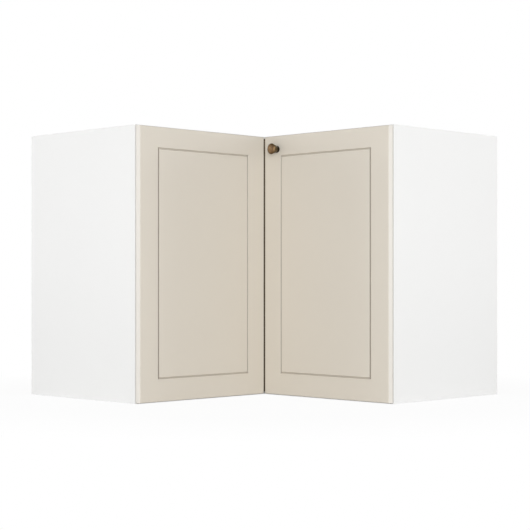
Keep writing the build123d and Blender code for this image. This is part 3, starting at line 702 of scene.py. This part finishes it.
def door_blank(low, high):
    """A door board with soft front edges and a routed rectangular line, facing -Y."""
    door = cube(low, high, "door_blank")
    front = low.y
    slope = (GROOVE_WIDTH - GROOVE_FLOOR) / 2

    def at_depth(edge, depth):
        """Does it lie so far behind the door's face?"""
        return all(abs(p.y - front - depth) < NEAR for p in edge_ends(door, edge))

    def level(edge, height):
        return at_depth(edge, 0) and all(abs(p.z - height) < NEAR for p in edge_ends(door, edge))

    select_in(door, "EDGE", lambda edge: at_depth(edge, 0))
    bpy.ops.mesh.bevel(offset=DOOR_EDGE_RADIUS, segments=6, affect="EDGES")
    leave_edit()
    select_in(door, "FACE", lambda face: face.center.y < front + NEAR)
    bpy.ops.mesh.inset(thickness=STILE_WIDTH - DOOR_EDGE_RADIUS)
    leave_edit()
    for edge_height, rail_width, sign in ((high.z, TOP_RAIL_WIDTH, 1), (low.z, LOW_RAIL_WIDTH, -1)):
        select_in(door, "EDGE", lambda edge: level(edge, edge_height - sign * STILE_WIDTH))
        bpy.ops.transform.translate(value=(0, 0, sign * (STILE_WIDTH - rail_width)))
        leave_edit()

    def inside_frame(face):
        """Is it the front face whose middle is nearly the door's own?"""
        off_centre = face.center - (low + high) / 2
        on_front = face.center.y < front + NEAR
        return on_front and abs(off_centre.x) < MM and abs(off_centre.z) < TOP_RAIL_WIDTH

    select_in(door, "FACE", inside_frame)
    bpy.ops.mesh.inset(thickness=slope, depth=-GROOVE_DEPTH)
    bpy.ops.mesh.inset(thickness=GROOVE_FLOOR)
    bpy.ops.mesh.inset(thickness=slope, depth=GROOVE_DEPTH)
    leave_edit()

    def on_loop(edge, inset, depth):
        """Does it lie on the rectangle so far inside the routed line's outer one?"""
        corners = edge_ends(door, edge)
        columns = (low.x + STILE_WIDTH + inset, high.x - STILE_WIDTH - inset)
        rows = (low.z + LOW_RAIL_WIDTH + inset, high.z - TOP_RAIL_WIDTH - inset)
        upright = any(all(abs(p.x - column) < NEAR for p in corners) for column in columns)
        across = any(all(abs(p.z - row) < NEAR for p in corners) for row in rows)
        return at_depth(edge, depth) and (upright or across)

    select_in(door, "EDGE", lambda edge: on_loop(edge, 0, 0) or on_loop(edge, GROOVE_WIDTH, 0))
    bpy.ops.mesh.bevel(offset=GROOVE_LIP, segments=4, affect="EDGES")
    leave_edit()
    select_in(door, "EDGE", lambda edge: on_loop(edge, slope, GROOVE_DEPTH)
              or on_loop(edge, slope + GROOVE_FLOOR, GROOVE_DEPTH))
    bpy.ops.mesh.bevel(offset=GROOVE_FLOOR_RADIUS, segments=2, affect="EDGES")
    leave_edit()
    select_in(door, "EDGE", lambda edge: at_depth(edge, high.y - front))
    bpy.ops.mesh.bevel(offset=DOOR_BACK_EDGE, segments=2, affect="EDGES")
    leave_edit()
    return door


CUPS = [box for box in islands("hinge_cups") if box[1].z - box[0].z > CUP_RADIUS]
CUP_SCREWS = islands("hinge_cup_screws")


def cup_centre(low, high):
    """The cup's axis on the back of the door, at the middle height of the cup's box."""
    return Vector((RIGHT_HIGH.x - CUP_FROM_EDGE, RIGHT_HIGH.y, (low.z + high.z) / 2))


def disc_tool(centre, radius, depth):
    """A round cutter through the door's back, half of its depth to each side."""
    bpy.ops.mesh.primitive_cylinder_add(vertices=CUTTER_SEGMENTS, radius=radius, depth=depth,
                                        location=centre, rotation=(pi / 2, 0, 0))
    return settled(bpy.context.active_object)


def make_doors():
    """The two doors: the left one mirrors the right one, and the right one is bored for the hinge cups."""
    right = door_blank(RIGHT_LOW, RIGHT_HIGH)
    left = twin(right, DIAGONAL_MIRROR)
    cut_away(right, [disc_tool(cup_centre(low, high), CUP_RADIUS, 2 * CUP_BORE_DEPTH) for low, high in CUPS])
    smooth(named(right, "right_door"))
    smooth(named(left, "left_door"))
    dress(right, "door_right", "door_right", PAINT_RIGHT)
    dress(left, "door_left", "door_left", PAINT_LEFT)


# Boards and pressed steel, with softened edges

FRONT_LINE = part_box("end_panel_right")[0].y
SHELF_SETBACK = 25 * MM
CARCASS_BOARDS = ("end_panel_right", "end_panel_left", "bottom_board", "front_rail_right",
                  "front_rail_left", "rear_rail_right", "rear_rail_left")


def board_finish(node, front_line):
    """A board's own finish: its faces lie across its thinnest way."""
    low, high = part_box(node)
    spans = high - low
    axis = min(range(3), key=lambda k: spans[k])
    return faced_board(node.replace("_", " "), axis, low[axis], high[axis], front_line)


BOARD_FINISH = {node: board_finish(node, FRONT_LINE) for node in CARCASS_BOARDS}
BOARD_FINISH["shelf"] = board_finish("shelf", FRONT_LINE + SHELF_SETBACK)


def make_boards():
    """The boards as the CAD model has them, with their long edges just broken."""
    for node, finish in BOARD_FINISH.items():
        board = softened(node, BOARD_EDGE_RADIUS, SHORTEST_BOARD_EDGE)
        dress(board, node, "carcass", finish)


def flange_disc(centre):
    """A cutter as wide as the round part of a cup's flange."""
    return disc_tool(centre, CUP_RADIUS + CUP_FLANGE, 8 * CUP_FLANGE_THICKNESS)


def cup_ears(centre, screws):
    """The two rounded ears of a cup's flange, outside its round part and under its screws."""
    low_screw, high_screw = screws
    half = Vector((CUP_EAR_WIDTH / 2, 0, 0))
    reach = Vector((0, 0, CUP_EAR_REACH))
    low = Vector((low_screw.x, centre.y, low_screw.z)) - half - reach
    high = Vector((high_screw.x, centre.y + CUP_FLANGE_THICKNESS, high_screw.z)) + half + reach
    ears = cube(low, high, "cup_ears")
    select_in(ears, "EDGE", lambda edge: abs(edge_ends(ears, edge)[0].y - edge_ends(ears, edge)[1].y) > NEAR)
    bpy.ops.mesh.bevel(offset=CUP_EAR_ROUNDING * half.x, segments=12, affect="EDGES")
    leave_edit()
    select_in(ears, "EDGE", lambda edge: all(p.y > high.y - NEAR for p in edge_ends(ears, edge)))
    bpy.ops.mesh.bevel(offset=CUP_EAR_EDGE, segments=2, affect="EDGES")
    leave_edit()
    return cut_away(ears, [flange_disc(centre)])


def make_cups():
    """The CAD model's cups, with the ears of their flanges under the screws and the mouth left open."""
    cups = softened("hinge_cups", STEEL_EDGE_RADIUS, SHORTEST_STEEL_EDGE)
    trims, slots, ears = [], [], []
    for low, high in CUPS:
        centre = cup_centre(low, high)
        reach = Vector((2 * CUP_RADIUS, 0, 2 * CUP_RADIUS))
        trim = cube(centre - reach, centre + reach + Y * 3 * CUP_FLANGE_THICKNESS, "trim")
        trims.append(cut_away(trim, [flange_disc(centre)]))
        slot_low = centre + Vector((CUP_RADIUS - CUT_OVERLAP, -CUT_OVERLAP, -CUP_SLOT_HALF))
        slot_high = centre + Vector((2 * CUP_RADIUS, 2 * CUP_FLANGE_THICKNESS, CUP_SLOT_HALF))
        slots.append(cube(slot_low, slot_high, "slot"))
        own = [(a + b) / 2 for a, b in CUP_SCREWS if low.z < (a.z + b.z) / 2 < high.z]
        ears.append(cup_ears(centre, sorted(own, key=lambda middle: middle.z)))
    cut_away(cups, trims)
    cut_away(cups, slots)
    smooth(joined([cups] + ears, "hinge_cups_detail"))
    dress(cups, "hinge_cups", "door_right", STEEL)


def make_hinge_steel():
    """Pressed and cast fittings as the CAD model has them, with softened edges."""
    for node, slot, finish in (
            ("hinge_arms", "hinge_steel", STEEL),
            ("hinge_mounting_plates", "zinc", ZINC),
            ("corner_plate", "plate_steel", GALVANISED)):
        piece = softened(node, STEEL_EDGE_RADIUS, SHORTEST_STEEL_EDGE)
        dress(piece, node, "carcass", finish)


# Screws and pads

# Heads as outlines, in shares of the head's radius and height
PAN = ((0.96, 0), (1, 0.12), (1, 0.38), (0.95, 0.62), (0.82, 0.84), (0.62, 1), (0.3, 1))
FLUSH = ((1, 0.92), (0.96, 1), (0.4, 1))
# A slot's cutter, half of it sunk into the head: length, width and height, in shares of the head's radius
RECESS = (1.15, 0.28, 0.9)
RECESS_TAPER = 0.45
ROUND_SEGMENTS = 32
SCREW_POINT = 0.3                # of the shank's radius, one diameter below the full shank
FOLD_SCREW = (3.4, 1.5, 1.75, 11)
PAD_WALL = 0.4                   # of a pad's thickness; the rest is its dome
PAD_OUTLINE = ((0.97, 0), (1, 0.12), (1, PAD_WALL))
PAD_ANGLES = (20, 40, 58, 74, 85)


def cross_cut(screw, head_radius, top):
    """The crossed recess of a screw's head, cut as two tapered slots."""
    for turn in (0, pi / 2):
        bpy.ops.mesh.primitive_cube_add(size=1, location=(0, 0, top), rotation=(0, 0, turn))
        slot = bpy.context.active_object
        slot.scale = head_radius * Vector(RECESS)
        settled(slot)
        floor = top - head_radius * RECESS[2] / 2
        select_in(slot, "FACE", lambda face: face.center.z < floor + NEAR)
        bpy.ops.transform.resize(value=(RECESS_TAPER, RECESS_TAPER, 1), center_override=(0, 0, floor))
        leave_edit()
        cut_away(screw, [slot])
    return screw


def pointed_screw(head_outline, head_radius, head, shank_radius, length):
    """A screw on Z, with its origin under the head."""
    full_shank = -length + 2 * shank_radius
    profile = [(SCREW_POINT * shank_radius, -length), (shank_radius, full_shank), (shank_radius, 0)]
    profile += [(across * head_radius, up * head) for across, up in head_outline]
    return cross_cut(turned(profile, ROUND_SEGMENTS, "pointed_screw"), head_radius, head)


def pad(radius, thickness):
    """A soft domed pad on Z."""
    dome = [(cos(radians(angle)), PAD_WALL + (1 - PAD_WALL) * sin(radians(angle))) for angle in PAD_ANGLES]
    profile = [(across * radius, up * thickness) for across, up in (*PAD_OUTLINE, *dome)]
    return turned(profile, ROUND_SEGMENTS, "pad")


def set_at_solids(model, node, direction, under):
    """Copies a model to each solid of a node, with its origin so far under the outer end of the solid."""
    way = Vector(direction)
    axis = max(range(3), key=lambda k: abs(way[k]))
    copies = []
    for low, high in islands(node):
        point = (low + high) / 2
        point[axis] = (high if way[axis] > 0 else low)[axis] - way[axis] * under
        copies.append(twin(model, facing(point, way)))
    remove(model)
    return smooth(joined(copies, node + "_detail"), SCREW_SMOOTH_ANGLE)


def make_screws():
    """All screws. Their sizes are head radius, head height, shank radius and length, in millimetres."""
    for node, body, slot, finish, outline, way, sizes in (
            ("corner_plate_screws", "carcass", "screw_steel", SCREW, PAN, -Z, (3.8, 1.8, 1.7, 13)),
            ("hinge_plate_screws", "carcass", "screw_steel", SCREW, PAN, -X, (4.2, 1.8, 2.45, 12)),
            ("hinge_arm_screws", "carcass", "screw_steel", SCREW, PAN, -X, (3.8, 2.0, 2.2, 11)),
            ("hinge_cup_screws", "door_right", "screw_steel", SCREW, PAN, Y, (3.6, 1.2, 1.9, 11)),
            ("knob_screw", "door_right", "screw_steel", SCREW, PAN, Y, (3.8, 1.6, 2.0, 28)),
            ("fold_screws_right", "door_right", "bronzed_steel", BRONZED_STEEL, FLUSH, Y, FOLD_SCREW),
            ("fold_screws_left", "door_left", "bronzed_steel", BRONZED_STEEL, FLUSH, -X, FOLD_SCREW)):
        model = pointed_screw(outline, *(size * MM for size in sizes))
        dress(set_at_solids(model, node, way, sizes[1] * MM), node, body, finish)


def make_pads():
    """The bumpers on the backs of the doors."""
    for node, body, way in (("bumpers_right", "door_right", Y), ("bumpers_left", "door_left", -X)):
        low, high = islands(node)[0]
        thickness = min(high - low)
        model = pad((high.z - low.z) / 2, thickness)
        dress(set_at_solids(model, node, way, thickness), node, body, PAD)


# Knob, as radii and heights above the door

KNOB_COLLAR_RADIUS = 9.4 * MM
KNOB_COLLAR_HEIGHT = 1.0 * MM
KNOB_COLLAR_ROUNDING = 0.6 * MM
KNOB_COLLAR_FOOT = 0.3 * MM
KNOB_STEM = ((8.8, 2.2), (8.8, 3.0), (9.3, 5.0), (10.3, 8.5), (11.2, 12.0), (12.3, 16.5), (13.1, 19.4))
KNOB_RIM_ROUNDING = 1.6 * MM
KNOB_RIM_DROP = 4.6 * MM         # the middle of the rim's rounding, below the top of the dome
KNOB_DOME = 1.8 * MM
KNOB_DOME_INSET = 1.2 * MM
KNOB_DOME_EDGE = 0.9 * MM
KNOB_DOME_RINGS = 9
KNOB_SEGMENTS = 96


def arc(centre, radius, start, end, steps):
    """Points of an arc from one angle to another, in degrees, as (radius from the axis, height)."""
    angles = [radians(start + (end - start) * k / steps) for k in range(steps + 1)]
    return [(centre[0] + radius * cos(a), centre[1] + radius * sin(a)) for a in angles]


def make_knob():
    """The knob, turned as one profile about its axis and set on the door's face."""
    low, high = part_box("knob")
    reach = high.y - low.y
    head = (high.x - low.x) / 2
    middle = (low + high) / 2
    collar, foot, rounding = KNOB_COLLAR_RADIUS, KNOB_COLLAR_FOOT, KNOB_COLLAR_ROUNDING
    profile = [(collar - foot, 0), (collar, foot), (collar, KNOB_COLLAR_HEIGHT)]
    profile += arc((collar - rounding, KNOB_COLLAR_HEIGHT), rounding, start=0, end=70, steps=4)
    profile += [(radius * MM, height * MM) for radius, height in KNOB_STEM]
    rim_middle = (head - KNOB_RIM_ROUNDING, reach - KNOB_RIM_DROP)
    profile += arc(rim_middle, KNOB_RIM_ROUNDING, start=-60, end=60, steps=8)
    rim = head - KNOB_DOME_INSET
    sphere = (rim ** 2 + KNOB_DOME ** 2) / (2 * KNOB_DOME)
    for ring in range(1, KNOB_DOME_RINGS + 1):
        across = (rim - KNOB_DOME_EDGE) * (1 - ring / (KNOB_DOME_RINGS + 0.6))
        profile.append((across, reach - sphere + sqrt(sphere ** 2 - across ** 2)))
    knob = turned(profile, KNOB_SEGMENTS, "turned_knob")
    placed(knob, facing(Vector((middle.x, high.y, middle.z)), -Y))
    smooth(knob, KNOB_SMOOTH_ANGLE)
    dress(knob, "knob", "door_right", BRONZE)


# Studio

def white_seen(tree, shaded, share):
    """Mixes white into what the camera and reflections see, and leaves the light that it gives alone."""
    path = add(tree, "ShaderNodeLightPath")
    seen = maths(tree, "MAXIMUM", path.outputs["Is Camera Ray"], path.outputs["Is Glossy Ray"])
    seen = maths(tree, "MAXIMUM", seen, path.outputs["Is Transmission Ray"])
    glow = add(tree, "ShaderNodeEmission")
    mix = add(tree, "ShaderNodeMixShader")
    tree.links.new(maths(tree, "MULTIPLY", seen, share), mix.inputs["Fac"])
    tree.links.new(shaded, mix.inputs[1])
    tree.links.new(glow.outputs["Emission"], mix.inputs[2])
    return mix.outputs["Shader"]


FLOOR_SIDE = 60
FLOOR_DROP = 0.5 * MM            # below the cabinet's underside
FLOOR_WHITE_NEAR = 0.94          # share of white near the cabinet
FLOOR_FADE = (0.66, 1.15)        # the distances between which it grows to 1
FLOOR_TONES = (0.93, 0.93, 0.93), (0.95, 0.95, 0.95)


def make_floor():
    """A pale floor that takes the cabinet's shadow and fades into the white backdrop further out."""
    bpy.ops.mesh.primitive_plane_add(size=FLOOR_SIDE, location=(0, 0, cad_box[0][2] - FLOOR_DROP))
    floor = named(bpy.context.active_object, "floor")
    material, tree, shader, position = new_material("pale floor")
    soft = noise(tree, position, scale=1.5, detail=2.0)
    tree.links.new(mixed(tree, soft, *FLOOR_TONES), shader.inputs["Base Color"])
    shader.inputs["Roughness"].default_value = 0.9
    out = tree.nodes["Material Output"]
    away = add(tree, "ShaderNodeVectorMath", operation="LENGTH")
    tree.links.new(position, away.inputs[0])
    share = remap(tree, away.outputs["Value"], *FLOOR_FADE, FLOOR_WHITE_NEAR, 1.0)
    tree.links.new(white_seen(tree, shader.outputs["BSDF"], share), out.inputs["Surface"])
    floor.data.materials.append(material)


WORLD_LEVEL = 0.38
# Each lamp's place, what it aims at, its size in metres and its power in watts
KEY = ((4.2, -4.2, 1.3), (0, 0, 0.35), (3.0, 2.4), 205.0)
SOFT_BOX_LEFT = ((-2.6, -2.6, 0.8), (-0.2, -0.45, 0.1), (1.8, 1.6), 21.5)
SOFT_BOX_RIGHT = ((2.6, 2.6, 0.8), (0.45, 0.2, 0.1), (1.8, 1.6), 21.5)


def make_world():
    """A white room that lights the cabinet plainly and is seen as pure white."""
    world = bpy.data.worlds.new("studio")
    bpy.context.scene.world = world
    world.use_nodes = True
    tree = world.node_tree
    background = tree.nodes["Background"]
    background.inputs["Color"].default_value = (1, 1, 1, 1)
    path = add(tree, "ShaderNodeLightPath")
    seen = maths(tree, "MAXIMUM", path.outputs["Is Camera Ray"], path.outputs["Is Transmission Ray"])
    strength = maths(tree, "MULTIPLY_ADD", seen, 1.0 - WORLD_LEVEL, WORLD_LEVEL)
    tree.links.new(strength, background.inputs["Strength"])


def area_light(name, place, aim, size, power):
    """A rectangular lamp that faces what it aims at."""
    data = bpy.data.lights.new(name, "AREA")
    data.shape = "RECTANGLE"
    data.size, data.size_y = size
    data.energy = power
    lamp = bpy.data.objects.new(name, data)
    bpy.context.scene.collection.objects.link(lamp)
    lamp.location = place
    lamp.rotation_euler = (Vector(aim) - Vector(place)).to_track_quat("-Z", "Y").to_euler()


def make_lights():
    """A broad key behind the camera, and one soft box beyond each arm, out of the doors' sight."""
    area_light("key", *KEY)
    area_light("soft_box_left", *SOFT_BOX_LEFT)
    area_light("soft_box_right", *SOFT_BOX_RIGHT)


def make_camera():
    """Level, along the diagonal; the horizon's place in the photograph gives the shift."""
    data = bpy.data.cameras.new("camera")
    data.sensor_width = SENSOR
    data.lens = FOCAL_PIXELS / PHOTO_SIDE * SENSOR
    data.shift_x = (PHOTO_SIDE / 2 - CENTRE_COLUMN) / PHOTO_SIDE
    data.shift_y = (HORIZON_ROW - PHOTO_SIDE / 2) / PHOTO_SIDE
    data.clip_end = 200
    camera = bpy.data.objects.new("camera", data)
    bpy.context.scene.collection.objects.link(camera)
    corner = Vector((cad_box[0][0], cad_box[1][1], CAMERA_HEIGHT))
    diagonal = (X - Y).normalized()
    camera.location = corner + CAMERA_FROM_CORNER * diagonal
    camera.rotation_euler = (-diagonal).to_track_quat("-Z", "Y").to_euler()
    bpy.context.scene.camera = camera


NODE_FINISH = {
    "rear_post": POST_FACE,
    "back_panel_right": thin_board("thin board right", 1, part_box("back_panel_right")[1].y - MM, True),
    "back_panel_left": thin_board("thin board left", 0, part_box("back_panel_left")[0].x + MM, False),
    "shelf_pins": SCREW,
    "cams": ZINC,
    "cam_bolts": SCREW,
    "dowels": BEECH,
    "corner_plate": GALVANISED,
    "corner_plate_screws": SCREW,
    "hinge_mounting_plates": ZINC,
    "hinge_plate_screws": SCREW,
    "hinge_arms": STEEL,
    "hinge_arm_screws": SCREW,
    "hinge_arm_rivets": SCREW,
    "hinge_cranks": STEEL,
    "hinge_crank_pins": SCREW,
    "hinge_guide_cranks": STEEL,
    "hinge_guide_pins": SCREW,
    "hinge_carriers": ZINC,
    "hinge_levers": ZINC,
    "hinge_cups": STEEL,
    "hinge_cup_pins": SCREW,
    "hinge_cup_screws": SCREW,
    "door_right": PAINT_RIGHT,
    "door_left": PAINT_LEFT,
    "knob": BRONZE,
    "knob_screw": SCREW,
    "fold_leaf_right": BRONZED_STEEL,
    "fold_leaf_left": BRONZED_STEEL,
    "fold_pin": BRONZED_STEEL,
    "fold_screws_right": BRONZED_STEEL,
    "fold_screws_left": BRONZED_STEEL,
    "bumpers_right": PAD,
    "bumpers_left": PAD,
}


def finish_nodes():
    """Gives every CAD node its finish, also where a modelled piece then stands for it."""
    for node, material in {**BOARD_FINISH, **NODE_FINISH}.items():
        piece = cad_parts[node]
        piece.data.materials.clear()
        piece.data.materials.append(material)


finish_nodes()
make_doors()
make_knob()
make_boards()
make_hinge_steel()
make_cups()
make_screws()
make_pads()
make_floor()
make_world()
make_lights()
make_camera()
bpy.context.scene.view_settings.view_transform = "Standard"
